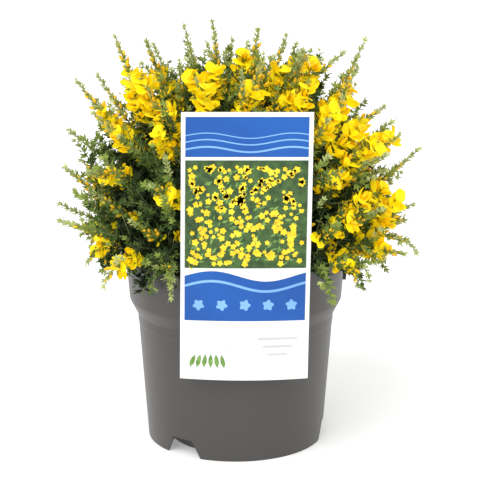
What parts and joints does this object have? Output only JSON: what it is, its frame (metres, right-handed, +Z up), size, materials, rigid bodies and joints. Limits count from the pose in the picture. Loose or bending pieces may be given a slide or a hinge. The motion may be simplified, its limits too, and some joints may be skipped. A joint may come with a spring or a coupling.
{
  "type": "potted dwarf broom shrub",
  "caption": "Dwarf broom shrub in yellow flower, growing in a tapered plastic nursery pot with a plain hang tag over its rim.",
  "frame": {"origin": "the middle of the pot's flat underside, on the ground", "axes": "+Z up along the pot's axis; -Y is the front, where the hang tag is; +X is to the right seen from the front"},
  "size_m": [0.2326, 0.2026, 0.2711],
  "materials": {
    "pot_plastic": "satin",
    "soil": "matte",
    "bark": "matte",
    "foliage": "matte",
    "blossom": "matte",
    "tag_card": "gloss"
  },
  "bodies": {
    "root": {"bough_lower_1": "bark", "bough_lower_2": "bark", "bough_lower_3": "bark", "bough_lower_4": "bark", "bough_lower_5": "bark", "bough_lower_6": "bark", "bough_lower_7": "bark", "bough_lower_8": "bark", "bough_top": "bark", "bough_upper_1": "bark", "bough_upper_2": "bark", "bough_upper_3": "bark", "bough_upper_4": "bark", "bough_upper_5": "bark", "bough_upper_6": "bark", "foliage_lower_1": "foliage", "foliage_lower_2": "foliage", "foliage_lower_3": "foliage", "foliage_lower_4": "foliage", "foliage_lower_5": "foliage", "foliage_lower_6": "foliage", "foliage_lower_7": "foliage", "foliage_lower_8": "foliage", "foliage_top": "foliage", "foliage_upper_1": "foliage", "foliage_upper_2": "foliage", "foliage_upper_3": "foliage", "foliage_upper_4": "foliage", "foliage_upper_5": "foliage", "foliage_upper_6": "foliage", "hang_tag": "tag_card", "pot": "pot_plastic", "soil": "soil", "stem": "bark"}
  },
  "joints": []
}
